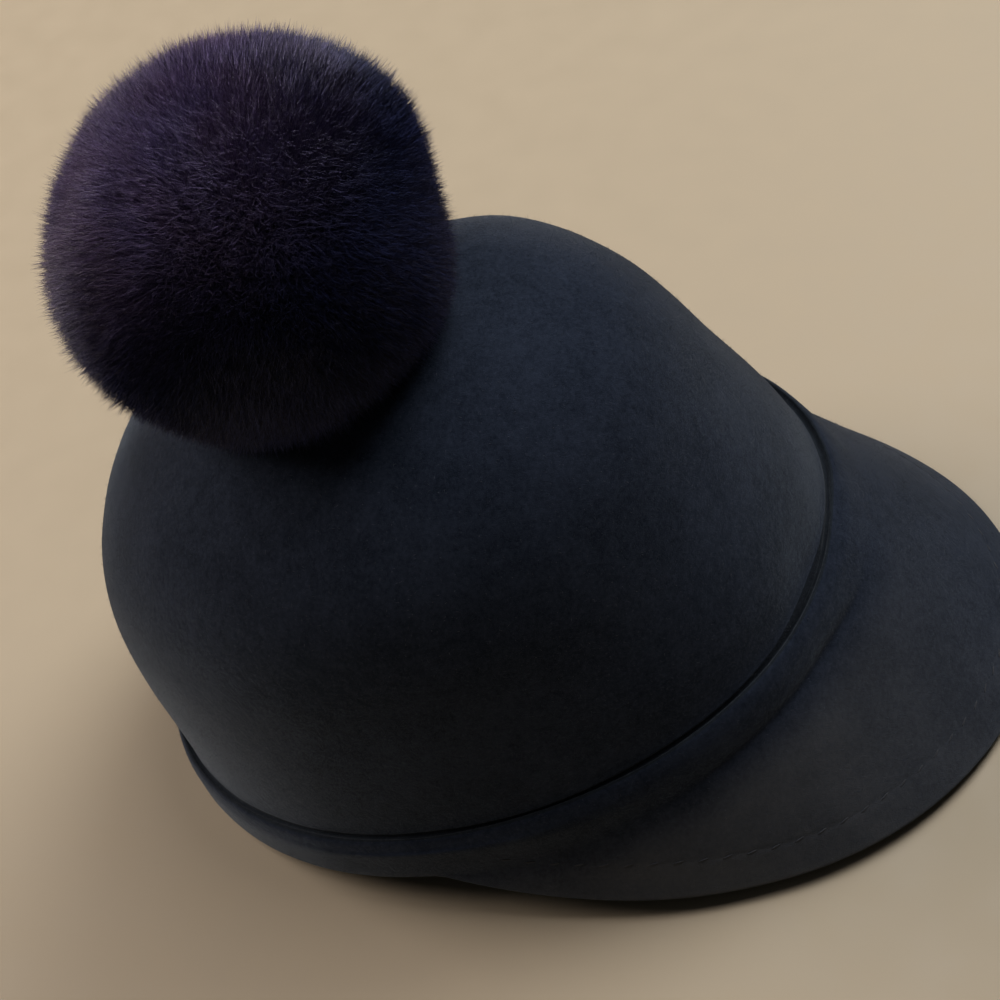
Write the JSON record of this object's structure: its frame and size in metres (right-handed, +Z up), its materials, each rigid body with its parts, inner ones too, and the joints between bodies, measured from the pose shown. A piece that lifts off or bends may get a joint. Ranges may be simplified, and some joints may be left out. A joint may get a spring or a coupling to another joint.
{
  "type": "felt cap with pompom",
  "caption": "Navy felt cap with a round crown, a pressed groove and short band at its foot, an arched front peak with a turned edge, and a large navy fur pompom on top.",
  "frame": {"origin": "under the middle of the whole cap, on the surface that it rests on", "axes": "+Z up, the peak points to -Y, +X is the wearer's left; the left and right halves mirror each other across X"},
  "size_m": [0.1898, 0.2632, 0.213],
  "materials": {
    "navy_felt": "matte",
    "navy_fur": "satin"
  },
  "bodies": {
    "root": {"felt_body": "navy_felt", "pompom": "navy_fur"}
  },
  "joints": []
}
